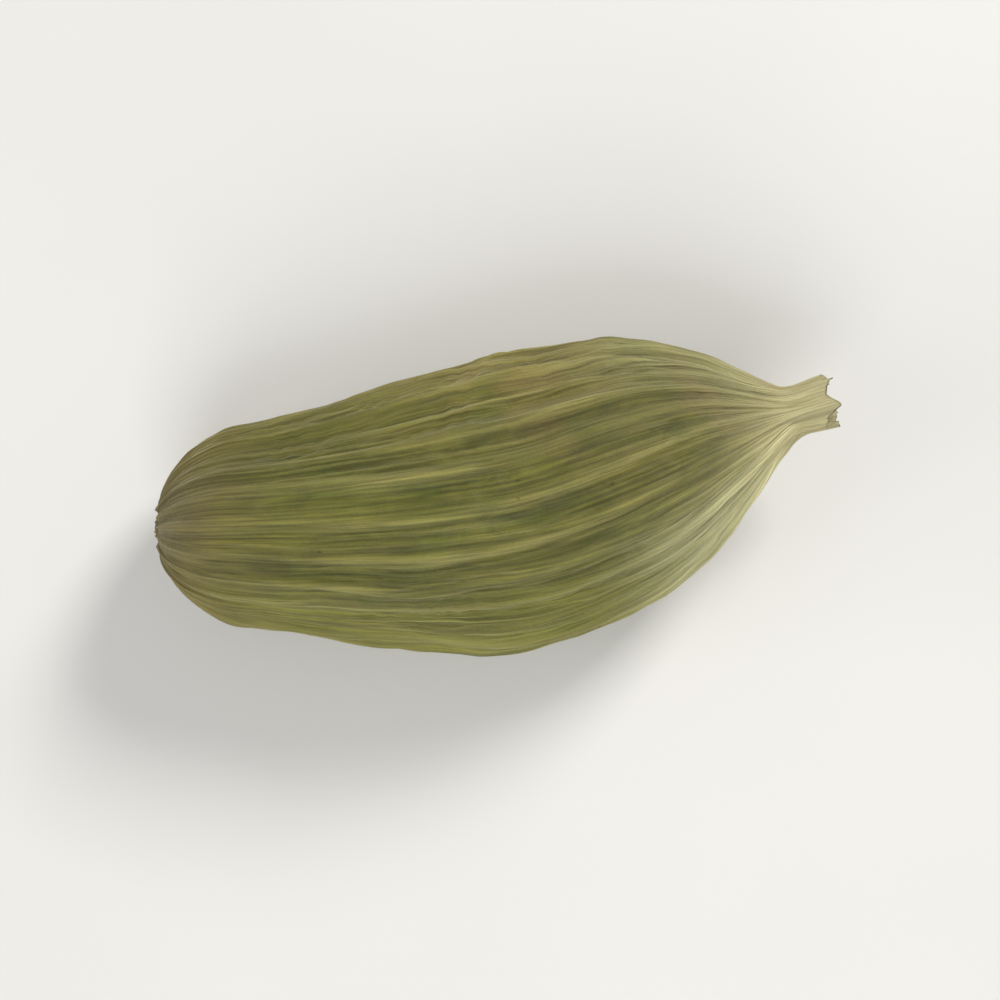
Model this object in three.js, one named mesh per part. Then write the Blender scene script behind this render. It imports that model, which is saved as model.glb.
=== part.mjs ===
// A dried green cardamom pod, lying on its side.
// The husk grew as one piece: a body of three blunt lobes with ribs from end to end, a rounded base with
// the scar of its stalk at -X, and a short torn beak, the remains of the flower tube, at +X.
// Millimetres, +Z up. The origin is under the middle of the pod, on the surface that it lies on.

import * as THREE from "three";
import { LoftGeometry } from "three/addons/geometries/LoftGeometry.js";

// Overall sizes, along the pod's axis from the stalk scar and across it
const AXIS_LENGTH = 14.75; // from the middle of the scar to the middle of the beak's end
const WIDEST_AT = 8.05;
const BEAK_START = 13.4; // from here the beak flares a little
const HUSK_END = 14.08; // where the husk has run out into the beak
const HUSK_RADIUS = 2.94; // mean radius at the widest place, which the lobes and ribs rise from
const BASE_RADIUS = 1.85; // mean radius just past the rounding of the base
const BASE_ROUNDING = 1.8; // length of that rounding
const SCAR_RADIUS = 0.62;
const BEAK_NECK_RADIUS = 0.44;
const BEAK_END_RADIUS = 0.54;

// Shape of the outline
const BASE_EASE = 1.45; // above 1, the husk widens late on its way from the base
const BASE_BLUNTNESS = 2.1; // 2 rounds the base as an ellipse, and more makes it squarer
const TIP_ALONG = 2.7; // the larger, the longer the husk stays wide towards the tip
const TIP_ACROSS = 1.17; // the smaller, the blunter the tip
const JOIN_POWER = 2; // the larger, the sharper the corner between the husk and its scar or beak

// How the pod bends
const SIDE_BOW = 0.65; // the middle lies this far to the -Y side of a line between the ends
const BEAK_LIFT = 0.75; // the end of the beak stands this much higher than the base
const TIP_LEAN = 0.5; // and the tip leans this much further to the +Y side, beak and all
const TIP_LEAN_FROM = 0.48; // where the lean starts and ends, as shares of the length
const TIP_LEAN_TO = 0.83;

// Lobes, furrows and ribs
const LOBE_COUNT = 3;
const LOBE_SHARE = 0.08; // height of a lobe as a share of the radius
const TOP_LOBE_LEAN = THREE.MathUtils.degToRad(14); // the upper lobe leans to the -Y side
const FURROW_DEPTH = 0.16;
const FURROW_SHARPNESS = 14;
const RIB_COUNT = 24;
const RIB_HEIGHT = 0.16;
const RIB_SHARPNESS = 1.8;
const RIB_EVENNESS = 0.7; // share of its height that the weakest rib keeps
const RIB_WANDER = THREE.MathUtils.degToRad(5); // how far a rib strays sideways on its way along the pod
const SEED_RELIEF = 0.07; // low swellings where the husk has dried onto the seeds
const SEED_PITCH = 2.7;
const SEED_STAGGER = 2; // shifts the swellings of one lobe against those of the next
const DENT_RELIEF = 0.08; // broad unevenness of the whole husk

// The two broken ends
const SCAR_DISH = 0.14;
const BEAK_HOLLOW = 0.6;
const BEAK_SQUASH = 0.25; // share of its height that the beak has lost in drying
const FOLD_COUNT = 7; // lengthwise folds of the beak
const FOLD_DEPTH = 0.05;
const FOLD_FROM = 12.8; // where along the axis the folds start, and where they are deepest
const FOLD_TO = 13.9;
const FOLD_PHASE = 0.8; // where round the beak they start, in radians
const TEAR_COUNT = 5; // jags of the beak's torn edge
const TEAR_HEIGHT = 0.1;
const TEAR_PHASE = 0.4;
const NOTCH_DEPTH = 0.3; // one deeper tear, on the -Y side of the top
const NOTCH_TURN = THREE.MathUtils.degToRad(65);
const NOTCH_WIDTH = 0.06; // the smaller, the narrower
const INNER_SHARE = 0.66; // radius of the inner ring of each broken end, as a share of its edge

// Uneven growth, as waves: how many round and along the pod, and where they start in radians
const WANDER_WAVE = { round: 2, roundStart: 0.9, along: 0.5, alongStart: 0.6 };
const STRENGTH_WAVE = { round: 5, roundStart: 1.7, along: 0.8, alongStart: 0.3 };
const SWELL_WAVE = { round: 1, roundStart: 0.3, along: 0.7, alongStart: 1.1 };
const DENT_WAVE = { round: 2, roundStart: 1.1, along: 1.5, alongStart: 0.4 };

// The spot that the pod lies on
const REST_DEPTH = 2.14; // from the scar's height down to the surface

// Mesh density
const POINTS_PER_RIB = 4;
const RING_POINTS = RIB_COUNT * POINTS_PER_RIB;
const RING_STEPS = 44;

const HUSK_COLOUR = 0x77744a;
const HUSK_ROUGHNESS = 0.68;

const FULL_TURN = 2 * Math.PI;

function wave({ round, roundStart, along, alongStart }, turn, distance) {
  const lengthwise = Math.sin((FULL_TURN * along * distance) / AXIS_LENGTH + alongStart);
  return Math.sin(round * turn + roundStart) * lengthwise;
}

// Radius of the husk alone: a blunt, rounded base that widens slowly, and a tip that narrows to the beak.
function huskRadius(distance) {
  if (distance > WIDEST_AT) {
    const share = Math.min(1, (distance - WIDEST_AT) / (HUSK_END - WIDEST_AT));
    return HUSK_RADIUS * (1 - share ** TIP_ALONG) ** TIP_ACROSS;
  }
  const rise = Math.sin((Math.PI / 2) * (distance / WIDEST_AT) ** BASE_EASE);
  const fromRounding = Math.max(0, 1 - distance / BASE_ROUNDING);
  const rounding = (1 - fromRounding ** BASE_BLUNTNESS) ** (1 / BASE_BLUNTNESS);
  return THREE.MathUtils.lerp(BASE_RADIUS, HUSK_RADIUS, rise) * rounding;
}

// How far a place is along the beak, from 0 at its neck to 1 at its torn end.
function beakShare(distance) {
  return THREE.MathUtils.smoothstep(distance, BEAK_START, AXIS_LENGTH);
}

// Radius of the narrow ends: the scar of the stalk, and the beak, which flares a little.
function endRadius(distance) {
  const towardsBeak = THREE.MathUtils.smoothstep(distance, 0, BEAK_START);
  const narrow = THREE.MathUtils.lerp(SCAR_RADIUS, BEAK_NECK_RADIUS, towardsBeak);
  return THREE.MathUtils.lerp(narrow, BEAK_END_RADIUS, beakShare(distance));
}

// The two together, with a soft hollow where the husk runs out into the beak.
function meanRadius(distance) {
  return (huskRadius(distance) ** JOIN_POWER + endRadius(distance) ** JOIN_POWER) ** (1 / JOIN_POWER);
}

// The pod's axis: a shallow bow to one side that is stronger towards the tip, rising a little on the way.
function axisPoint(distance) {
  const share = distance / AXIS_LENGTH;
  const lean = TIP_LEAN * THREE.MathUtils.smoothstep(share, TIP_LEAN_FROM, TIP_LEAN_TO);
  return new THREE.Vector3(distance, lean - SIDE_BOW * Math.sin(Math.PI * share), BEAK_LIFT * share);
}

// How far the torn edge of the beak stands out, all round it.
function tornEdge(turn) {
  const notch = NOTCH_DEPTH * Math.exp((Math.cos(turn - NOTCH_TURN) - 1) / NOTCH_WIDTH);
  return TEAR_HEIGHT * Math.sin(TEAR_COUNT * turn + TEAR_PHASE) - notch;
}

// Height of the surface above the mean radius: lobes, the furrows between them, ribs, seeds, dents, folds.
// The rib angle counts the ribs, and the turn is where they have wandered to: 0 on top, a quarter turn on
// the -Y side.
function relief(ribAngle, turn, distance) {
  const fullness = huskRadius(distance) / HUSK_RADIUS;
  const leaned = turn - (TOP_LOBE_LEAN * (1 + Math.cos(turn))) / 2;
  const lobe = Math.cos(LOBE_COUNT * leaned);
  const furrow = ((1 - lobe) / 2) ** FURROW_SHARPNESS;
  const rib = ((1 + Math.cos(RIB_COUNT * ribAngle)) / 2) ** RIB_SHARPNESS;
  const strength = THREE.MathUtils.lerp(RIB_EVENNESS, 1, (1 + wave(STRENGTH_WAVE, ribAngle, distance)) / 2);
  const seedPhase = (FULL_TURN * distance) / SEED_PITCH + SEED_STAGGER * Math.sin(LOBE_COUNT * leaned);
  const swelling = (1 + wave(SWELL_WAVE, turn, distance)) / 2;
  const seeds = (swelling * Math.sin(seedPhase) * (1 + lobe)) / 2;
  const broad = LOBE_SHARE * HUSK_RADIUS * lobe - FURROW_DEPTH * furrow;
  const fine = SEED_RELIEF * seeds + DENT_RELIEF * wave(DENT_WAVE, turn, distance);
  const folding = THREE.MathUtils.smoothstep(distance, FOLD_FROM, FOLD_TO);
  const fold = FOLD_DEPTH * folding * Math.sin(FOLD_COUNT * turn + FOLD_PHASE);
  return fullness * (broad + fine) + Math.sqrt(fullness) * RIB_HEIGHT * strength * rib + fold;
}

// One ring of points across the axis, shrunk by a scale and set in along the axis where it closes an end.
// What would sink below the surface is pressed flat against it.
function ring(distance, scale = 1, inset = 0) {
  const step = 0.01;
  const ahead = axisPoint(distance + step).sub(axisPoint(distance - step)).normalize();
  const side = new THREE.Vector3(-ahead.y, ahead.x, 0).normalize();
  const up = new THREE.Vector3().crossVectors(ahead, side);
  const centre = axisPoint(distance).addScaledVector(ahead, inset);
  const squash = 1 - BEAK_SQUASH * beakShare(distance);
  return Array.from({ length: RING_POINTS }, (_, index) => {
    const ribAngle = (FULL_TURN * index) / RING_POINTS;
    const turn = ribAngle + RIB_WANDER * wave(WANDER_WAVE, ribAngle, distance);
    const radius = scale * (meanRadius(distance) + relief(ribAngle, turn, distance));
    const torn = scale * beakShare(distance) * tornEdge(turn);
    const point = centre.clone();
    point.addScaledVector(up, radius * squash * Math.cos(turn));
    point.addScaledVector(side, -radius * Math.sin(turn));
    point.addScaledVector(ahead, torn);
    point.z = Math.max(point.z, -REST_DEPTH);
    return point;
  });
}

// Rings from the stalk scar to the beak's end, closer together towards both ends.
// Two smaller rings, the last of no width, close each broken end with a dish.
function podGeometry() {
  const rings = [ring(0, 0, SCAR_DISH), ring(0, INNER_SHARE, SCAR_DISH / 2)];
  for (let index = 0; index <= RING_STEPS; index++) {
    const share = (1 - Math.cos((Math.PI * index) / RING_STEPS)) / 2;
    rings.push(ring(AXIS_LENGTH * share));
  }
  rings.push(ring(AXIS_LENGTH, INNER_SHARE, -BEAK_HOLLOW / 2), ring(AXIS_LENGTH, 0, -BEAK_HOLLOW));
  return new LoftGeometry(rings);
}

const geometry = podGeometry();
geometry.computeBoundingBox();
const middle = geometry.boundingBox.getCenter(new THREE.Vector3());

const pod = new THREE.Mesh(
  geometry,
  new THREE.MeshStandardMaterial({ color: HUSK_COLOUR, roughness: HUSK_ROUGHNESS, metalness: 0 }),
);
pod.name = "pod";
pod.position.set(-middle.x, -middle.y, REST_DEPTH);

const cardamom = new THREE.Group();
cardamom.add(pod);

export default cardamom;
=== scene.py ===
# %% [markdown]
# # A dried green cardamom pod
#
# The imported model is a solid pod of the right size, in the right place. This lesson dresses it: a finer
# husk takes the solid's place, with the ribs, wrinkles and torn beak that a dry pod has, and then it gets
# its faded colours. Sizes are in millimetres, as one would measure a pod, and become metres when a mesh
# is made.

# %% Load the frame
import math

import bpy
import numpy as np
from mathutils import Matrix, Vector


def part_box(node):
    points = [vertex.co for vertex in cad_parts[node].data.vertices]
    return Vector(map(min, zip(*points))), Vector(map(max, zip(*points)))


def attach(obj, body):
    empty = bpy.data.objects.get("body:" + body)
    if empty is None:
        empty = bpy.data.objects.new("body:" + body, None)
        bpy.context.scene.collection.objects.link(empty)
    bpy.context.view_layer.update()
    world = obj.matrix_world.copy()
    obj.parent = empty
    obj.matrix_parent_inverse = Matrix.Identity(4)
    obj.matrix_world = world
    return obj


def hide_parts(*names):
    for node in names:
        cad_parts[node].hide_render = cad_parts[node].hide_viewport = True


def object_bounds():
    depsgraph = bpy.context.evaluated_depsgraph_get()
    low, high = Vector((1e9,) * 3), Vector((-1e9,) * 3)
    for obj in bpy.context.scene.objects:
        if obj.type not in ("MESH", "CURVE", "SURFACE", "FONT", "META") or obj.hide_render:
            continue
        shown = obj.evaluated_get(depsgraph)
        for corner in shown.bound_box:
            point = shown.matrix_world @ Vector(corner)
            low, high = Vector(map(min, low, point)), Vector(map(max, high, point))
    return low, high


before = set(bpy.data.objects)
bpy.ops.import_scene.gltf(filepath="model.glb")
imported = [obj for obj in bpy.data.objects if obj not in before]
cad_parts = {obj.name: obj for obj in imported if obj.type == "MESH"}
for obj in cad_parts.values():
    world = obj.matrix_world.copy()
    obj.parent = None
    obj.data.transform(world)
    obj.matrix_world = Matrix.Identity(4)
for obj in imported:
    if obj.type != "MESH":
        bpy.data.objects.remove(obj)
cad_low, cad_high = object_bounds()
MM = 0.001
pod_low, pod_high = (np.array(corner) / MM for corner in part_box("pod"))
print("solid pod, mm:", np.round(pod_high - pod_low, 2))

# %% [markdown]
# ## The outline
#
# A husk is a body of revolution at heart: one radius for each place along its axis. It could be drawn as
# a curve and spun, but ribs and dents come later, so the radius is kept as a formula that can be added
# to. The base is blunt and widens slowly, and the tip narrows into the beak, which is what is left of the
# flower tube and flares a little.

# %% Radius along the axis
AXIS_LENGTH = 14.75
WIDEST_AT, BEAK_START, HUSK_END = 8.05, 13.4, 14.08
HUSK_RADIUS, BASE_RADIUS, BASE_ROUNDING = 2.94, 1.85, 1.8
SCAR_RADIUS, BEAK_NECK_RADIUS, BEAK_END_RADIUS = 0.62, 0.44, 0.54
BASE_EASE, BASE_BLUNTNESS = 1.45, 2.1
TIP_ALONG, TIP_ACROSS, JOIN_POWER = 2.7, 1.17, 2


def ease(low, high, value):
    """Smooth step: 0 below low, 1 above high, and 3 t^2 - 2 t^3 between them."""
    t = np.clip((value - low) / (high - low), 0, 1)
    return t * t * (3 - 2 * t)


def husk_radius(distance):
    """From the base, a sine that rises from the base radius to the full one, times a quarter of a squarish
    ellipse over the rounding. Past the widest place, the full radius times (1 - share^along)^across."""
    rise = np.sin(math.pi / 2 * np.clip(distance / WIDEST_AT, 0, 1) ** BASE_EASE)
    from_rounding = np.clip(1 - distance / BASE_ROUNDING, 0, 1)
    rounding = (1 - from_rounding**BASE_BLUNTNESS) ** (1 / BASE_BLUNTNESS)
    base = (BASE_RADIUS + (HUSK_RADIUS - BASE_RADIUS) * rise) * rounding
    tip_share = np.clip((distance - WIDEST_AT) / (HUSK_END - WIDEST_AT), 0, 1)
    tip = HUSK_RADIUS * (1 - tip_share**TIP_ALONG) ** TIP_ACROSS
    return np.where(distance < WIDEST_AT, base, tip)


def beak_share(distance):
    """0 at the neck of the beak and 1 at its torn end."""
    return ease(BEAK_START, AXIS_LENGTH, distance)


def mean_radius(distance):
    """The husk and its narrow end, joined as (husk^p + end^p)^(1/p), which leaves a soft hollow between."""
    narrow = SCAR_RADIUS + (BEAK_NECK_RADIUS - SCAR_RADIUS) * ease(0, BEAK_START, distance)
    narrow = narrow + (BEAK_END_RADIUS - narrow) * beak_share(distance)
    return (husk_radius(distance) ** JOIN_POWER + narrow**JOIN_POWER) ** (1 / JOIN_POWER)


OUTLINE_STEPS = 20000

outline = np.linspace(0, AXIS_LENGTH, OUTLINE_STEPS)
print("widest mean radius, mm:", mean_radius(outline).max().round(2))

# %% [markdown]
# ## The bow
#
# Pods press against each other on the stem and grow a little crooked. The axis is a shallow sine to one
# side, with a lean near the tip. Each place on it has three directions of its own: ahead, to the side,
# and up. Rings of points are laid out in those, so they stay square to the axis however it bends.

# %% Axis and its directions
SIDE_BOW, BEAK_LIFT = 0.65, 0.75
TIP_LEAN, TIP_LEAN_FROM, TIP_LEAN_TO = 0.5, 0.48, 0.83


def axis_point(distance):
    """x is the distance, y a half sine plus a smooth step near the tip, and z a straight rise."""
    share = distance / AXIS_LENGTH
    side = TIP_LEAN * ease(TIP_LEAN_FROM, TIP_LEAN_TO, share) - SIDE_BOW * np.sin(math.pi * share)
    return np.stack([distance, side, BEAK_LIFT * share], axis=-1)


def axis_directions(distance, step=0.01):
    """Unit vectors ahead, sideways and up: the slope by difference, its level normal, and their product."""
    ahead = axis_point(distance + step) - axis_point(distance - step)
    ahead /= np.linalg.norm(ahead, axis=-1, keepdims=True)
    side = np.stack([-ahead[..., 1], ahead[..., 0], np.zeros_like(distance)], axis=-1)
    side /= np.linalg.norm(side, axis=-1, keepdims=True)
    return ahead, side, np.cross(ahead, side)


print("bow, mm:", np.ptp(axis_point(outline)[:, 1]).round(2))

# %% [markdown]
# ## Chance, but the same each time
#
# Nothing on a pod is quite even. Blender has noise textures, but they act in a material or a modifier,
# and here the noise shapes the points themselves. So it is made here: random values on a lattice that
# is wrapped round the pod, eased from one to the next. The seed is fixed, so the pod is the same each
# time, and the lattice closes on itself, so there is no seam.

# %% Noise that closes round the pod
FULL_TURN = 2 * math.pi


def pod_noise(lattice, angle, place):
    """Random values from -1 to 1 on a lattice, blended by the smooth step between the four nearest. The
    lattice is given as its seed, its cells round the pod and its cells along it."""
    seed, cells_round, cells_along = lattice
    values = np.random.default_rng(seed).uniform(-1, 1, (cells_along + 2, cells_round))
    across = (angle / FULL_TURN) % 1 * cells_round
    along = np.clip(place / AXIS_LENGTH, 0, 1) * cells_along
    column, row = np.floor(across).astype(int), np.floor(along).astype(int)
    across, along = ease(0, 1, across - column), ease(0, 1, along - row)
    left, right = column % cells_round, (column + 1) % cells_round
    near = values[row, left] * (1 - across) + values[row, right] * across
    far = values[row + 1, left] * (1 - across) + values[row + 1, right] * across
    return near * (1 - along) + far * along


def wave(turn, distance, rounds, rounds_start, along, along_start):
    """A sine round the pod times a sine along it."""
    lengthwise = np.sin(FULL_TURN * along * distance / AXIS_LENGTH + along_start)
    return np.sin(rounds * turn + rounds_start) * lengthwise


TRIAL_LATTICE = (1, 5, 5)
trials = [pod_noise(TRIAL_LATTICE, 0.0, 0.0).round(3) for _ in range(2)]
print("two draws with one seed:", trials)

# %% [markdown]
# ## Where the points go
#
# The husk is one sheet of points: columns round the pod, and rows from the middle of the stalk scar, out
# over its edge, along the husk and the beak, over the torn lip and down into the hollow beak. The first
# and the last row have no width, and become one point each, which closes the sheet. Rows at even steps of
# the axis would be far apart on the blunt base, where the outline runs almost straight out, so they are
# spaced along the outline.

# %% Rows and columns of the sheet
COLUMNS = 480
SCAR_ROWS, HUSK_ROWS, CUP_ROWS = 24, 160, 22
SCAR_DISH, SCAR_FLATNESS = 0.14, 1.6
BEAK_HOLLOW, CUP_SQUARENESS = 0.95, 0.6
LIP_SHARE, LIP_SHARPNESS = 0.16, 12


def in_rows(scar, husk, cup):
    """One value for each row, as a column: those of the scar, of the husk, and of the cup in the beak."""
    parts = zip((scar, husk, cup), (SCAR_ROWS, HUSK_ROWS, CUP_ROWS))
    return np.concatenate([np.broadcast_to(values, count) for values, count in parts])[:, None]


steps = np.hypot(np.diff(outline), np.diff(mean_radius(outline)))
travelled = np.concatenate([[0], np.cumsum(steps)])
husk_rows = np.interp(np.linspace(0, travelled[-1], HUSK_ROWS), travelled, outline)
scar_scale = np.linspace(0, 1, SCAR_ROWS, endpoint=False)
cup_turn = np.linspace(0, math.pi / 2, CUP_ROWS + 1)[1:]
cup_wall, cup_lip = np.cos(cup_turn) ** CUP_SQUARENESS, np.cos(cup_turn) ** LIP_SHARPNESS

distance = in_rows(0, husk_rows, AXIS_LENGTH)
skin_place = in_rows(0, np.linspace(0, AXIS_LENGTH, HUSK_ROWS), AXIS_LENGTH)
scale = in_rows(scar_scale, 1, (1 - LIP_SHARE) * cup_wall + LIP_SHARE * cup_lip)
inset = in_rows(SCAR_DISH * (1 - scar_scale**SCAR_FLATNESS), 0, -BEAK_HOLLOW * np.sin(cup_turn))
on_scar = in_rows(1, 0, 0)
rib_angle = (np.arange(COLUMNS) * FULL_TURN / COLUMNS)[None, :]
print("sheet:", len(distance), "rows of", COLUMNS, "- outline, mm:", travelled[-1].round(2))

# %% [markdown]
# ## Lobes and swellings
#
# Three seed chambers give the husk its three blunt lobes, with a furrow between each pair, and the skin
# dries down onto the seeds. Each form is one formula of the angle and the distance, so the heights can
# simply be added up.

# %% Large forms
LOBE_COUNT, LOBE_SHARE, TOP_LOBE_LEAN = 3, 0.08, math.radians(14)
FURROW_DEPTH, FURROW_SHARPNESS = 0.16, 14
SEED_RELIEF, SEED_PITCH, SEED_STAGGER = 0.07, 2.7, 2
DENT_RELIEF, HOLLOW_RELIEF = 0.08, 0.05
RIB_WANDER = math.radians(5)
WANDER_WAVE, SWELL_WAVE, DENT_WAVE = (2, 0.9, 0.5, 0.6), (1, 0.3, 0.7, 1.1), (2, 1.1, 1.5, 0.4)
HOLLOW_LATTICE = (11, 9, 8)

turn = rib_angle + RIB_WANDER * wave(rib_angle, distance, *WANDER_WAVE)
fullness = husk_radius(distance) / HUSK_RADIUS
leaned = turn - TOP_LOBE_LEAN * (1 + np.cos(turn)) / 2
lobe = np.cos(LOBE_COUNT * leaned)
furrow = ((1 - lobe) / 2) ** FURROW_SHARPNESS
swelling = (1 + wave(turn, distance, *SWELL_WAVE)) / 2
seed_phase = FULL_TURN * distance / SEED_PITCH + SEED_STAGGER * np.sin(LOBE_COUNT * leaned)
seeds = swelling * np.sin(seed_phase) * (1 + lobe) / 2
dents = DENT_RELIEF * wave(turn, distance, *DENT_WAVE)
dents = dents + HOLLOW_RELIEF * pod_noise(HOLLOW_LATTICE, turn, skin_place)
large_forms = LOBE_SHARE * HUSK_RADIUS * lobe - FURROW_DEPTH * furrow + SEED_RELIEF * seeds + dents
print("lobes and dents, mm:", np.ptp(large_forms).round(2))

# %% [markdown]
# ## Ribs and threads
#
# Veins run from end to end and stand out as thin ribs once the flesh has dried away from them, with two
# weaker threads in each valley between. A cosine raised to a power gives a narrow crest and a broad
# valley. Noise shifts the ribs sideways a little, and lets each one rise and fade along its way. The rib
# heights are kept, because the colours need them as well.

# %% Ribs and threads
RIB_COUNT, RIB_HEIGHT, RIB_EVENNESS, RIB_SHARPNESS = 24, 0.16, 0.7, 2.8
RIB_STRAY, RIB_TREMBLE, RIB_FADE, RIB_BEADS = math.radians(3), math.radians(0.8), 0.4, 0.15
THREADS_PER_RIB, THREAD_HEIGHT, THREAD_SHARPNESS, THREAD_SHOW = 3, 0.065, 1.8, 0.45
STRENGTH_WAVE = (5, 1.7, 0.8, 0.3)
STRAY_LATTICE, TREMBLE_LATTICE = (21, 11, 5), (22, 31, 17)
FADE_LATTICE, BEAD_LATTICE = (23, 2 * RIB_COUNT, 5), (24, 2 * RIB_COUNT, 38)
THREAD_LATTICE = (25, THREADS_PER_RIB * RIB_COUNT, 7)

stray = RIB_STRAY * pod_noise(STRAY_LATTICE, rib_angle, skin_place)
tremble = RIB_TREMBLE * pod_noise(TREMBLE_LATTICE, rib_angle, skin_place)
rib_phase = RIB_COUNT * (rib_angle + stray + tremble)
rib = ((1 + np.cos(rib_phase)) / 2) ** RIB_SHARPNESS
strength = RIB_EVENNESS + (1 - RIB_EVENNESS) * (1 + wave(rib_angle, distance, *STRENGTH_WAVE)) / 2
strength = strength * (1 + RIB_FADE * pod_noise(FADE_LATTICE, rib_angle, skin_place))
strength = strength * (1 + RIB_BEADS * pod_noise(BEAD_LATTICE, rib_angle, skin_place))
thread_show = np.clip(THREAD_SHOW + pod_noise(THREAD_LATTICE, rib_angle, skin_place), 0, 1)
thread = thread_show * ((1 + np.cos(THREADS_PER_RIB * rib_phase)) / 2) ** THREAD_SHARPNESS
ribs = np.maximum(RIB_HEIGHT * strength * rib, THREAD_HEIGHT * thread)
print("ribs, mm:", ribs.max().round(2))

# %% [markdown]
# ## Wrinkles and fibres
#
# The skin between the ribs shrinks into cross wrinkles, a net of fine creases, and lines as thin as hair.
# A crease is where a noise passes through zero: one minus its size, raised to a power, is a thin line
# there and nothing elsewhere.

# %% Wrinkles, creases and fibres
WRINKLE_HEIGHT, WRINKLE_PITCH, WRINKLE_BEND, WRINKLE_SHOW = 0.026, 0.7, 8, 0.25
CREASE_DEPTH, CREASE_SHARPNESS, CREASE_TWIST = 0.02, 7, 0.02
FIBRE_HEIGHT, HAIR_HEIGHT = 0.022, 0.011
BEND_LATTICE, SHOW_LATTICE, CREASE_LATTICE = (31, RIB_COUNT, 16), (32, 14, 9), (33, 47, 21)
FIBRE_LATTICE, HAIR_LATTICE = (34, 173, 13), (35, 240, 31)

valley = 1 - np.clip(ribs / RIB_HEIGHT, 0, 1)
wrinkle_bend = WRINKLE_BEND * pod_noise(BEND_LATTICE, rib_phase / RIB_COUNT, skin_place)
wrinkle_show = np.clip(WRINKLE_SHOW + pod_noise(SHOW_LATTICE, turn, skin_place), 0, 1)
wrinkles = wrinkle_show * np.sin(FULL_TURN * skin_place / WRINKLE_PITCH + wrinkle_bend)
crease_noise = pod_noise(CREASE_LATTICE, turn + CREASE_TWIST * skin_place, skin_place)
crease = (1 - np.abs(crease_noise)) ** CREASE_SHARPNESS
fibres = FIBRE_HEIGHT * pod_noise(FIBRE_LATTICE, rib_angle, skin_place)
hairs = HAIR_HEIGHT * pod_noise(HAIR_LATTICE, rib_angle, skin_place)
fine_forms = valley * (WRINKLE_HEIGHT * wrinkles - CREASE_DEPTH * crease) + fibres + hairs
print("wrinkles and fibres, mm:", np.ptp(fine_forms).round(3))

# %% [markdown]
# ## The beak
#
# The flower tube withered to a pale, papery beak. It is squashed, folded lengthwise and torn off at its
# end. The folds are a wave round the ring that only acts near the beak, and the torn lip is a shift along
# the axis that differs round the ring, with one deeper notch.

# %% Folds and torn lip
BEAK_SQUASH, FOLD_COUNT, FOLD_DEPTH, FOLD_STRAY = 0.25, 7, 0.075, 0.8
FOLD_FROM, FOLD_TO, FOLD_PHASE = 12.8, 13.9, 0.8
TEAR_COUNT, TEAR_HEIGHT, TEAR_PHASE, RAGGED, FRAYED = 5, 0.1, 0.4, 0.7, 0.3
NOTCH_DEPTH, NOTCH_TURN, NOTCH_WIDTH = 0.3, math.radians(65), 0.06
FOLD_LATTICE, RAGGED_LATTICE, FRAYED_LATTICE = (41, 5, 40), (42, 19, 2), (43, 43, 2)

fold_phase = FOLD_PHASE + FOLD_STRAY * pod_noise(FOLD_LATTICE, turn, distance)
folds = FOLD_DEPTH * ease(FOLD_FROM, FOLD_TO, distance) * np.sin(FOLD_COUNT * turn + fold_phase)
jags = np.sin(TEAR_COUNT * turn + TEAR_PHASE) + RAGGED * pod_noise(RAGGED_LATTICE, turn, distance)
jags = jags + FRAYED * pod_noise(FRAYED_LATTICE, turn, distance)
notch = NOTCH_DEPTH * np.exp((np.cos(turn - NOTCH_TURN) - 1) / NOTCH_WIDTH)
torn = beak_share(distance) * (TEAR_HEIGHT * jags - notch)
print("torn lip, mm:", np.ptp(torn).round(2))

# %% [markdown]
# ## The stalk scar
#
# At the other end the stalk broke off. It left a raised, crumbly ring, a groove inside it, and in the
# middle the broken end of the stalk's own fibres. Noise that is wrapped round the pod would run to a star
# in the middle, so here the same lattice is laid flat across the scar.

# %% Ring, groove and broken stub
SCAR_EDGE, SCAR_EDGE_AT, SCAR_EDGE_WIDTH = 0.07, 0.86, 0.1
STUB_HEIGHT, STUB_TOP, STUB_FOOT = 0.2, 0.44, 0.64
BROKEN_ROUGH, SPLINTER_ROUGH, STUB_WOBBLE = 0.08, 0.04, 0.09
BROKEN_LATTICE, SPLINTER_LATTICE, WOBBLE_LATTICE = (44, 11, 11), (45, 25, 25), (46, 9, 2)

flat_angle = FULL_TURN * (1 + scale * np.cos(turn)) / 2
flat_place = AXIS_LENGTH * (1 + scale * np.sin(turn)) / 2
broken = BROKEN_ROUGH * pod_noise(BROKEN_LATTICE, flat_angle, flat_place)
broken = broken + SPLINTER_ROUGH * pod_noise(SPLINTER_LATTICE, flat_angle, flat_place)
from_middle = scale + STUB_WOBBLE * pod_noise(WOBBLE_LATTICE, turn, distance)
stub = on_scar * (1 - ease(STUB_TOP, STUB_FOOT, from_middle))
scar_ring = on_scar * np.exp(-(((scale - SCAR_EDGE_AT) / SCAR_EDGE_WIDTH) ** 2))
scar_shift = np.maximum(stub, scar_ring) * broken - STUB_HEIGHT * stub - SCAR_EDGE * scar_ring
print("scar, mm:", np.ptp(scar_shift + on_scar * inset).round(2))

# %% [markdown]
# ## Points in space
#
# The large forms push the husk out from its axis. The fine ones stand square on the skin instead, so that
# the ribs are as high on the blunt base, which faces backwards, as they are on the flanks. What would
# sink below the surface that the pod lies on is pressed flat against it.

# %% Points in space
REST_DEPTH = 2.14

along_skin = np.stack([np.gradient(husk_rows), np.gradient(mean_radius(husk_rows))])
along_skin /= np.linalg.norm(along_skin, axis=0)
out_ahead, out_radial = in_rows(0, -along_skin[1], 0), in_rows(1, along_skin[0], 1)
fine_height = np.sqrt(fullness) * (ribs + fine_forms)
radius = scale * (mean_radius(distance) + fullness * large_forms + folds) + out_radial * fine_height
along_axis = inset + scale * torn + scar_shift + out_ahead * fine_height

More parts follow.
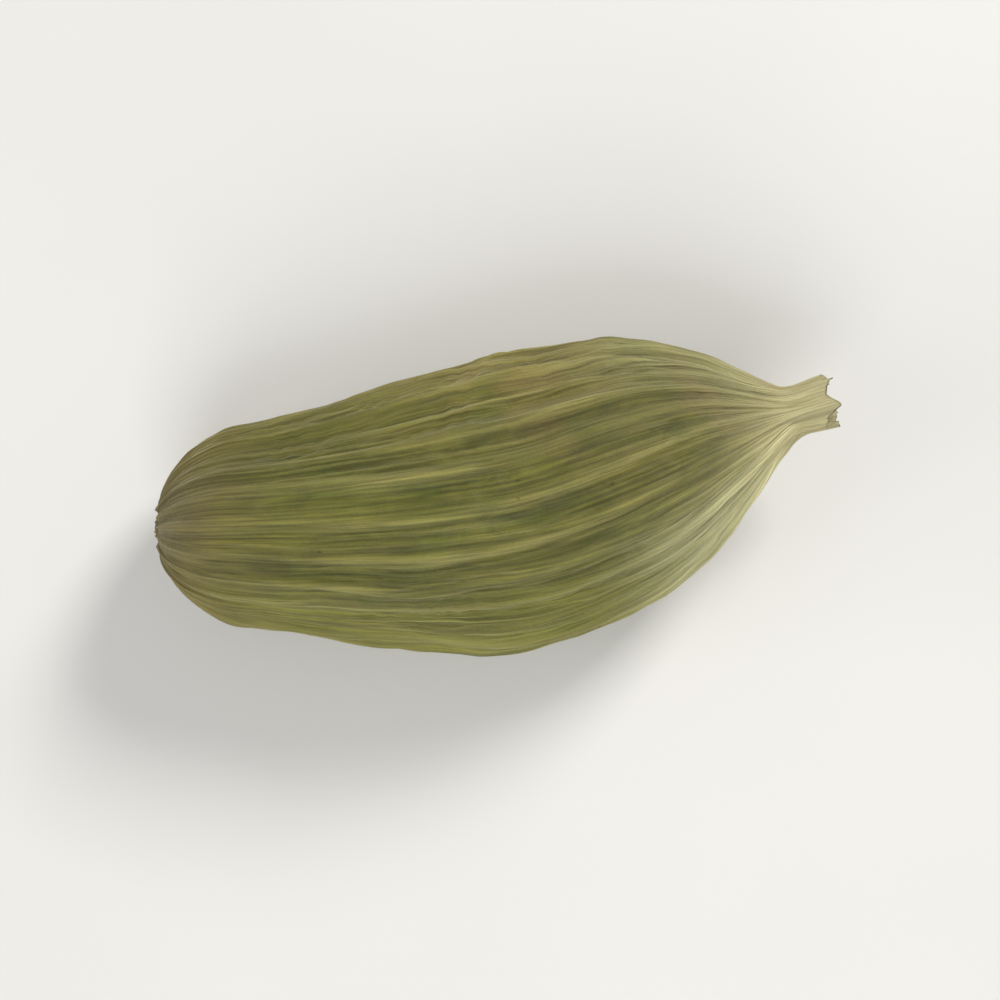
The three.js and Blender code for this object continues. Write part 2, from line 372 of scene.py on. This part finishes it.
ahead, side, up = (vectors[:, None, :] for vectors in axis_directions(distance[:, 0]))
squash = 1 - BEAK_SQUASH * beak_share(distance)
points = axis_point(distance[:, 0])[:, None, :] + ahead * along_axis[..., None]
points = points + up * (radius * squash * np.cos(turn))[..., None]
points = points - side * (radius * np.sin(turn))[..., None]
points[..., 2] = np.maximum(points[..., 2] + REST_DEPTH, 0)
middle = (points.min((0, 1)) + points.max((0, 1))) / 2
points[..., :2] += ((pod_low + pod_high) / 2 - middle)[:2]
print("husk, mm:", np.round(points.max((0, 1)) - points.min((0, 1)), 2))

# %% [markdown]
# ## From points to a mesh
#
# Each square of four neighbouring points becomes a face, in the order that turns it outwards. The two
# rows of no width become single points with a fan of triangles.

# %% Build the husk


def closed_sheet_faces(rows, columns):
    """Squares between neighbouring rows, wrapped round, and a fan at each end to the points stored last."""
    grid = np.arange(rows * columns).reshape(rows, columns)
    after = np.roll(grid, -1, axis=1)
    squares = np.stack([grid[:-1], after[:-1], after[1:], grid[1:]], axis=-1).reshape(-1, 4)
    first_pole, last_pole = rows * columns, rows * columns + 1
    first_fan = np.stack([np.full(columns, first_pole), after[0], grid[0]], axis=-1)
    last_fan = np.stack([grid[-1], after[-1], np.full(columns, last_pole)], axis=-1)
    return squares.tolist() + first_fan.tolist() + last_fan.tolist()


def with_poles(values):
    """Rows between the two ends, flattened, followed by one value for each end."""
    values = np.broadcast_to(values, points.shape[:2] + values.shape[2:])
    inner = values[1:-1].reshape(-1, *values.shape[2:])
    return np.concatenate([inner, values[:1, 0], values[-1:, 0]])


def new_piece(name, vertices, faces):
    """A smooth mesh object at the origin, with its vertices given in millimetres."""
    mesh = bpy.data.meshes.new(name)
    mesh.from_pydata(np.asarray(vertices) * MM, [], faces)
    mesh.polygons.foreach_set("use_smooth", np.ones(len(mesh.polygons), dtype=bool))
    mesh.update()
    piece = bpy.data.objects.new(name, mesh)
    bpy.context.scene.collection.objects.link(piece)
    return piece


husk = new_piece("pod_husk", with_poles(points), closed_sheet_faces(len(distance) - 2, COLUMNS))
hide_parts("pod")
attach(husk, "root")
print("husk:", len(husk.data.polygons), "faces")

# %% [markdown]
# ## Where the colours change
#
# A material can't know where a rib or the beak is, so such masks are worked out here and stored on the
# points as attributes, which a material can read wherever the husk bends. Both flanks are painted paler,
# the lower one more, as light catching them would make them: that mask is painted light. A rim beside the
# beak gets a painted highlight, strongest on the lower side, and the skin is dull where one side nears
# the tip. The groove of the scar and the inside of the beak get painted shade. The fibre attribute is a
# place on a plain cylinder instead of the husk, so a pattern that is stretched along the cylinder runs
# along the husk without a seam.

# %% Store the masks
# Painted light: the flanks, and a rim near the beak, are made paler, the lower side most.
RIM_FROM, RIM_TO, RIM_TURN = 8.4, 11.4, 0.1
UPPER_FROM, UPPER_TO, UPPER_RIM_HIGHLIGHT, UPPER_FLANK_LIGHT = 0.5, 0.92, 0.25, 0.18
LOWER_FROM, LOWER_TO, LOWER_RIM_HIGHLIGHT, LOWER_FLANK_LIGHT, FLANK_LIGHT_CURVE = 0.15, 0.85, 0.95, 0.42, 2
DULL_ALONG, DULL_ACROSS, DULL_FROM, DULL_TO = 0.4, 1.3, -0.3, 3.6
PALE_FROM, PALE_TO, PALE_CURVE = 10.6, 13.7, 3
BROWN_FROM, BROWN_TO = 0.1, 4.0
GROOVE_FROM, GROOVE_TO, GROOVE_SHADE = 0.7, 0.92, 0.75


def store(piece, name, values):
    """Put one number, or one vector, on each point of a piece."""
    values = with_poles(values)
    kind, field = ("FLOAT", "value") if values.ndim == 1 else ("FLOAT_VECTOR", "vector")
    attribute = piece.data.attributes.new(name, kind, "POINT")
    attribute.data.foreach_set(field, np.ascontiguousarray(values, dtype=np.float32).ravel())


sideways = np.sin(turn - RIM_TURN)
upper, lower = ease(UPPER_FROM, UPPER_TO, -sideways), ease(LOWER_FROM, LOWER_TO, sideways)
dull_place = DULL_ALONG * points[..., 0] + DULL_ACROSS * points[..., 1]
pale_share = np.clip((distance - PALE_FROM) / (PALE_TO - PALE_FROM), 0, 1)
# Painted shade: the groove inside the scar's ring is darkened, as shade would darken it.
groove = GROOVE_SHADE * on_scar * (1 - stub) * (1 - ease(GROOVE_FROM, GROOVE_TO, from_middle))
store(husk, "rib", np.clip(ribs / RIB_HEIGHT, 0, 1) * np.sqrt(fullness))
# Painted light: how much paler each flank is made, the lower one more.
store(husk, "flank_painted_light", UPPER_FLANK_LIGHT * upper + LOWER_FLANK_LIGHT * lower**FLANK_LIGHT_CURVE)
# Painted highlight: a pale rim towards the beak, the lower side much stronger.
store(husk, "rim_highlight", ease(RIM_FROM, RIM_TO, distance) * (UPPER_RIM_HIGHLIGHT * upper + LOWER_RIM_HIGHLIGHT * lower))
store(husk, "dull", ease(DULL_FROM, DULL_TO, dull_place))
store(husk, "beak", pale_share**PALE_CURVE)
store(husk, "base", 1 - ease(BROWN_FROM, BROWN_TO, skin_place))
store(husk, "stub", stub)
# Painted shade: the scar's groove, and the inside of the beak, darker the deeper it goes.
store(husk, "hollow", groove + in_rows(0, 0, np.sin(cup_turn)))
length_share = np.broadcast_to(skin_place / AXIS_LENGTH, turn.shape)
store(husk, "fibre", np.stack([scale * np.cos(turn), scale * np.sin(turn), length_share], axis=-1))
print("masks:", [attribute.name for attribute in husk.data.attributes])

# %% [markdown]
# ## Colours
#
# A dry husk is olive green where its skin lies low, and worn to buff along the ribs. A painted image
# could show that, but it would have to be unwrapped and would blur close up. Noise textures and the
# stored masks do it instead. They are joined in a tree of shader nodes, and a few helpers keep that tree
# short to write.

# %% Helpers for shader nodes


def add_node(tree, kind, inputs=None, **settings):
    """Add one node. An input that is a socket is linked, and any other value is set on it."""
    node = tree.nodes.new(kind)
    for name, value in settings.items():
        setattr(node, name, value)
    for name, value in (inputs or {}).items():
        if isinstance(value, bpy.types.NodeSocket):
            tree.links.new(value, node.inputs[name])
        else:
            node.inputs[name].default_value = value
    return node


def maths(tree, operation, first, second=0.0):
    """Output of a Math node."""
    return add_node(tree, "ShaderNodeMath", {0: first, 1: second}, operation=operation).outputs[0]


def blend(tree, factor, first, second, mode="MIX"):
    """Output of a colour Mix node; its colour inputs are the seventh and the eighth."""
    inputs = {0: factor, 6: first, 7: second}
    return add_node(tree, "ShaderNodeMix", inputs, data_type="RGBA", blend_type=mode).outputs[2]


def spread(tree, value, low, high, bottom=0.0, top=1.0):
    """Output of a Map Range node that takes low..high to bottom..top and stops there."""
    inputs = {"Value": value, "From Min": low, "From Max": high, "To Min": bottom, "To Max": top}
    return add_node(tree, "ShaderNodeMapRange", inputs, interpolation_type="SMOOTHSTEP").outputs[0]


def noise(tree, vector, size=1.0, detail=3.0, rough=0.6, warp=0.0):
    """Output of a Noise texture; size is how many cells fit in one unit, and warp bends them."""
    inputs = {"Vector": vector, "Scale": size, "Detail": detail, "Roughness": rough, "Distortion": warp}
    return add_node(tree, "ShaderNodeTexNoise", inputs).outputs[0]


def attribute(tree, name, output="Fac"):
    """Output of an Attribute node."""
    return add_node(tree, "ShaderNodeAttribute", attribute_name=name).outputs[output]


def on_fibres(tree, density):
    """A place on the cylinder of the fibre attribute, times the cells in one unit across and along it."""
    across, along = density
    inputs = {0: attribute(tree, "fibre", "Vector"), 1: (across, across, along)}
    return add_node(tree, "ShaderNodeVectorMath", inputs, operation="MULTIPLY").outputs[0]


def srgb(red, green, blue):
    """A colour given as it would be read off a screen, from 0 to 255, as linear light."""
    shares = np.array([red, green, blue]) / 255
    linear = np.where(shares <= 0.04045, shares / 12.92, ((shares + 0.055) / 1.055) ** 2.4)
    return (*linear.tolist(), 1.0)


MID_GREY = srgb(128, 128, 128)
print("mid grey in linear light:", np.round(MID_GREY, 3))

# %% [markdown]
# ## Fibre patterns
#
# Dry skin is drawn out into streaks and hairs that follow the husk, with mottling and a few dark specks
# between them. The cells of a noise texture are as long as they are wide, so its place is stretched
# first: many cells round the pod, and few along it. That place comes from the fibre attribute, so the
# streaks bend with the husk.

# %% Fibre patterns
STREAK_DENSITY, STREAK_DETAIL, HAIR_DENSITY = (13, 3.6), 4, (42, 6)
MOTTLE_DENSITY, MOTTLE_DETAIL, MOTTLE_ROUGH, MOTTLE_WARP = (5, 10), 5, 0.65, 0.9
SPECK_DENSITY, SPECK_WOBBLE, WOBBLE_CELLS, WOBBLE_DETAIL = (5.2, 16), 0.06, 9, 2
SPECK_CORE, SPECK_SIZE, CHANCE_FROM, CHANCE_TO = 0.03, 0.075, 0.5, 0.75


def streak_pattern(tree):
    """Noise with many cells round the pod and few along it, so that it draws out into streaks."""
    return noise(tree, on_fibres(tree, STREAK_DENSITY), detail=STREAK_DETAIL)


def hair_pattern(tree):
    """The same, three times finer."""
    return noise(tree, on_fibres(tree, HAIR_DENSITY))


def mottle_pattern(tree):
    """Warped noise with cells about three times as long as wide."""
    place = on_fibres(tree, MOTTLE_DENSITY)
    return noise(tree, place, detail=MOTTLE_DETAIL, rough=MOTTLE_ROUGH, warp=MOTTLE_WARP)


def speck_pattern(tree):
    """Scattered dots: the distance to a random point in each cell, kept where the cell's chance is high. A
    noise shifts the place first, so that no dot is quite round."""
    place = on_fibres(tree, SPECK_DENSITY)
    inputs = {"Vector": place, "Scale": WOBBLE_CELLS, "Detail": WOBBLE_DETAIL}
    wobble = add_node(tree, "ShaderNodeTexNoise", inputs).outputs["Color"]
    inputs = {0: SPECK_WOBBLE, 4: place, 5: wobble}
    place = add_node(tree, "ShaderNodeMix", inputs, data_type="VECTOR").outputs[1]
    cells = add_node(tree, "ShaderNodeTexVoronoi", {"Vector": place, "Scale": 1.0})
    chance = add_node(tree, "ShaderNodeSeparateColor", {0: cells.outputs["Color"]}).outputs[0]
    dot = spread(tree, cells.outputs["Distance"], SPECK_CORE, SPECK_SIZE, 1, 0)
    return maths(tree, "MULTIPLY", dot, spread(tree, chance, CHANCE_FROM, CHANCE_TO))


print("streaks round the pod:", round(FULL_TURN * STREAK_DENSITY[0]))

# %% [markdown]
# ## The husk's colour
#
# The skin yellows in patches, stays fresher in others, greys where it is dull, and turns pale as straw
# towards the beak. The flanks are painted paler, as light catching them would leave them, the rim beside
# the beak gets a painted highlight, and the hollows get painted shade. Each of these is one blend over what
# lies below it, as a painter would glaze, so any of them can be changed alone. The order matters: what lies
# on top, such as the worn ribs and the painted highlight of the rim, comes late.

# %% Colours of the husk
VALLEY_GREEN, SKIN_OLIVE, SKIN_YELLOW = srgb(71, 75, 25), srgb(99, 97, 37), srgb(119, 112, 44)
# The flank colour on the next line is painted light: it makes the flanks paler, as light catching them
# would.
FRESH_GREEN, FLANK_PAINTED_LIGHT, GREY_BROWN = srgb(91, 99, 32), srgb(144, 142, 57), srgb(117, 98, 57)
BLEMISH_BROWN, RIB_BUFF = srgb(95, 79, 39), srgb(142, 135, 75)
# The rim colour on the next line is a painted highlight beside the beak; the straw of the beak is its own.
RIM_HIGHLIGHT_STRAW, STRAW = srgb(189, 186, 142), srgb(206, 197, 150)
# The dark brown below colours the real specks, and is also the painted shade in the hollows.
SCAR_BROWN, STUB_TAN, SPECK_BROWN_AND_SHADE = srgb(114, 99, 60), srgb(150, 128, 84), srgb(58, 46, 26)
print("pale rim in linear light:", np.round(RIM_HIGHLIGHT_STRAW, 3))

# %% Husk colour
# Patches: the noise, the levels of it between which a patch sets in, and how strong it is
YELLOWED = dict(size=260, warp=0.6, levels=(0.48, 0.72), amount=0.55)
FRESHER = dict(size=350, warp=0.8, levels=(0.5, 0.68), amount=0.6)
GREYED = dict(size=420, detail=4, warp=0.6, levels=(0.35, 0.65), amount=0.85)
BLEMISHED = dict(size=620, detail=5, rough=0.65, warp=1.0, levels=(0.6, 0.72), amount=0.6)

# Mottles, streaks and hairs: two levels of the pattern, and how strong the colour is at each of them
MOTTLES, HAIRLINES = (0.36, 0.64, 0, 1), (0.28, 0.72, 0.2, 0.8)
GREEN_STREAKS, BUFF_STREAKS = (0.3, 0.47, 0.6, 0), (0.54, 0.74, 0, 0.45)
# The rim's levels below set a painted highlight; the ribs and the beak are really worn pale.
WORN_RIBS, RIM_HIGHLIGHT_LEVELS, WORN_BEAK = (0.3, 0.65, 0.3, 0.8), (0.35, 0.62, 0.5, 1), (0.2, 0.6, 0.6, 1)
# The hollows' amount below is the strength of their painted shade.
BASE_AMOUNT, SPECK_AMOUNT, HOLLOW_SHADE_AMOUNT, HAIR_AMOUNT = 0.7, 0.6, 0.75, 0.6


def patches(tree, place, levels, amount, **cells):
    """Noise in the pod's own space: nothing below the first level, and the full amount above the second."""
    return spread(tree, noise(tree, place, **cells), *levels, 0, amount)


def masked(tree, mask, amount):
    """A stored mask times an amount, which is a number or a pattern."""
    return maths(tree, "MULTIPLY", attribute(tree, mask), amount)


def husk_colour(tree, streaks, hairs):
    """Mottled green, then one blend each for patches, painted light on the flanks, streaks, ribs, a painted
    highlight at the rim, base, specks, beak, stub, painted shade in the hollows and hairs."""
    place = add_node(tree, "ShaderNodeTexCoord").outputs["Object"]
    skin = blend(tree, spread(tree, mottle_pattern(tree), *MOTTLES), VALLEY_GREEN, SKIN_OLIVE)
    skin = blend(tree, patches(tree, place, **YELLOWED), skin, SKIN_YELLOW)
    skin = blend(tree, patches(tree, place, **FRESHER), skin, FRESH_GREEN)
    skin = blend(tree, masked(tree, "dull", patches(tree, place, **GREYED)), skin, GREY_BROWN)
    skin = blend(tree, patches(tree, place, **BLEMISHED), skin, BLEMISH_BROWN)
    # Painted light: the flanks made paler, the lower one most, as if light caught them.
    skin = blend(tree, attribute(tree, "flank_painted_light"), skin, FLANK_PAINTED_LIGHT)
    skin = blend(tree, spread(tree, streaks, *GREEN_STREAKS), skin, VALLEY_GREEN)
    skin = blend(tree, spread(tree, streaks, *BUFF_STREAKS), skin, RIB_BUFF)
    skin = blend(tree, masked(tree, "rib", spread(tree, streaks, *WORN_RIBS)), skin, RIB_BUFF)
    # Painted highlight: a pale rim beside the beak, strongest on the lower side.
    skin = blend(tree, masked(tree, "rim_highlight", spread(tree, streaks, *RIM_HIGHLIGHT_LEVELS)), skin, RIM_HIGHLIGHT_STRAW)
    skin = blend(tree, masked(tree, "base", BASE_AMOUNT), skin, SCAR_BROWN)
    skin = blend(tree, maths(tree, "MULTIPLY", speck_pattern(tree), SPECK_AMOUNT), skin, SPECK_BROWN_AND_SHADE)
    skin = blend(tree, masked(tree, "beak", spread(tree, streaks, *WORN_BEAK)), skin, STRAW)
    skin = blend(tree, attribute(tree, "stub"), skin, STUB_TAN)
    # Painted shade in the scar's groove and the hollow beak.
    skin = blend(tree, masked(tree, "hollow", HOLLOW_SHADE_AMOUNT), skin, SPECK_BROWN_AND_SHADE)
    return blend(tree, HAIR_AMOUNT, skin, spread(tree, hairs, *HAIRLINES), "OVERLAY")


print("patches, mm:", [round(1 / MM / kind["size"], 1) for kind in (YELLOWED, FRESHER, GREYED, BLEMISHED)])

# %% [markdown]
# ## The finish
#
# Dry skin has a faint satin shine, a little stronger along the pale streaks. Seen at a low angle it also
# has a pale bloom, as papery things do, and the shader's sheen gives that. Lines finer than the mesh are
# left to a bump, which tilts the shading without moving the surface.

# %% Husk finish
SHINE, SATIN = 0.38, (0.3, 0.7, 0.72, 0.5)
BLOOM, BLOOM_SPREAD, BLOOM_COLOUR = 0.35, 0.4, srgb(226, 219, 172)
BUMP_STRENGTH, BUMP_DEPTH = 0.8, 0.07
GRAIN_CELLS, GRAIN_DETAIL, STREAK_BUMP, GRAIN_BUMP = 9000, 2, 0.6, 0.4


def husk_finish():
    """The husk's colour, with a satin shine along the fibres, a pale bloom at low angles, and hairlines and
    grain as a bump."""
    material = bpy.data.materials.new("cardamom_husk")
    material.use_nodes = True
    tree = material.node_tree
    shader = tree.nodes["Principled BSDF"]
    streaks, hairs = streak_pattern(tree), hair_pattern(tree)
    tree.links.new(husk_colour(tree, streaks, hairs), shader.inputs["Base Color"])
    tree.links.new(spread(tree, streaks, *SATIN), shader.inputs["Roughness"])
    place = add_node(tree, "ShaderNodeTexCoord").outputs["Object"]
    grain = noise(tree, place, GRAIN_CELLS, GRAIN_DETAIL)
    relief = maths(tree, "ADD", hairs, maths(tree, "MULTIPLY", streaks, STREAK_BUMP))
    relief = maths(tree, "ADD", relief, maths(tree, "MULTIPLY", grain, GRAIN_BUMP))
    inputs = {"Height": relief, "Strength": BUMP_STRENGTH, "Distance": BUMP_DEPTH * MM}
    tree.links.new(add_node(tree, "ShaderNodeBump", inputs).outputs[0], shader.inputs["Normal"])
    shader.inputs["Specular IOR Level"].default_value = SHINE
    shader.inputs["Sheen Weight"].default_value = BLOOM
    shader.inputs["Sheen Roughness"].default_value = BLOOM_SPREAD
    shader.inputs["Sheen Tint"].default_value = BLOOM_COLOUR
    return material


husk.data.materials.append(husk_finish())
print("finish:", husk.data.materials[0].name)

# %% [markdown]
# ## A plain stage
#
# The pod lies on a pale, matt floor with a trace of clouding, so that it doesn't look like an empty page.
# One large square is enough for that. It is no part of the pod.

# %% Floor
FLOOR_SIZE, FLOOR_ROUGHNESS = 800, 0.8
CLOUD_CELLS, CLOUD_FROM, CLOUD_TO = 40, 0.3, 0.7
FLOOR_GREY, FLOOR_PALE = srgb(220, 219, 216), srgb(225, 224, 221)

corner = np.array([[-1, -1, 0], [1, -1, 0], [1, 1, 0], [-1, 1, 0]]) * FLOOR_SIZE / 2
floor = new_piece("floor", corner, [(0, 1, 2, 3)])
floor_finish = bpy.data.materials.new("pale_floor")
floor_finish.use_nodes = True
floor_tree = floor_finish.node_tree
floor_shader = floor_tree.nodes["Principled BSDF"]
floor_place = add_node(floor_tree, "ShaderNodeTexCoord").outputs["Object"]
cloud = spread(floor_tree, noise(floor_tree, floor_place, CLOUD_CELLS), CLOUD_FROM, CLOUD_TO)
floor_colour = blend(floor_tree, cloud, FLOOR_GREY, FLOOR_PALE)
floor_tree.links.new(floor_colour, floor_shader.inputs["Base Color"])
floor_shader.inputs["Roughness"].default_value = FLOOR_ROUGHNESS
floor.data.materials.append(floor_finish)
print("floor, mm:", FLOOR_SIZE)

# %% [markdown]
# ## Soft light
#
# Square lamps of some size give shadows with soft edges, where a sun or a point would draw them hard. The
# main one stands to the upper right, low enough to draw out the ribs. A wider one fills from below the
# picture, and a weak one lifts the base on the left. The sky is a plain pale grey.

# %% Lights
WHITE, WARM_WHITE = (1.0, 1.0, 1.0), (1.0, 0.98, 0.94)
SKY_GREY, SKY_STRENGTH = srgb(238, 238, 238), 0.38


def soft_lamp(name, azimuth, elevation, distance, size, watts, colour=WHITE):
    """A square lamp that faces the origin, under the pod, from an azimuth and an elevation in degrees."""
    lamp = bpy.data.objects.new(name, bpy.data.lights.new(name, "AREA"))
    lamp.data.size, lamp.data.energy, lamp.data.color = size * MM, watts, colour
    a, e = math.radians(azimuth), math.radians(elevation)
    back = Vector((math.sin(a) * math.cos(e), -math.cos(a) * math.cos(e), math.sin(e)))
    lamp.location = back * distance * MM
    lamp.rotation_euler = (-back).to_track_quat("-Z", "Y").to_euler()
    bpy.context.scene.collection.objects.link(lamp)
    return lamp


key = dict(azimuth=132, elevation=40, distance=160, size=50, watts=0.185, colour=WARM_WHITE)
fill = dict(azimuth=345, elevation=44, distance=180, size=110, watts=0.16)
lift = dict(azimuth=275, elevation=22, distance=180, size=110, watts=0.1)
lamps = [soft_lamp("key_lamp", **key), soft_lamp("fill_lamp", **fill), soft_lamp("base_lamp", **lift)]
sky = bpy.data.worlds.new("studio_sky")
bpy.context.scene.world = sky
sky.use_nodes = True
sky_shader = sky.node_tree.nodes["Background"]
sky_shader.inputs["Color"].default_value = SKY_GREY
sky_shader.inputs["Strength"].default_value = SKY_STRENGTH
bpy.context.scene.view_settings.view_transform = "Standard"
print("lamps, W:", [round(lamp.data.energy, 3) for lamp in lamps])

# %% [markdown]
# ## The camera
#
# The picture looks down on the pod, with the beak to the right and a little up. A long lens from some way
# off keeps the near and the far end alike in scale.

# %% Camera
LENS, SENSOR = 100, 36
CLIP_NEAR, CLIP_FAR = 1, 10000
PICTURE_WIDTH = 21.5
PICTURE_TILT = math.radians(8.7)
LOOK_ELEVATION = math.radians(86)

camera = bpy.data.objects.new("camera", bpy.data.cameras.new("camera"))
camera.data.lens, camera.data.sensor_width = LENS, SENSOR
camera.data.clip_start, camera.data.clip_end = CLIP_NEAR * MM, CLIP_FAR * MM
target = (cad_low + cad_high) / 2
back = Vector((0, -math.cos(LOOK_ELEVATION), math.sin(LOOK_ELEVATION)))
reach = PICTURE_WIDTH * MM * LENS / SENSOR
look = (-back).to_track_quat("-Z", "Y").to_matrix() @ Matrix.Rotation(-PICTURE_TILT, 3, "Z")
camera.matrix_world = Matrix.Translation(target + back * reach) @ look.to_4x4()
bpy.context.scene.collection.objects.link(camera)
bpy.context.scene.camera = camera
print("camera distance, mm:", round(reach / MM, 1))
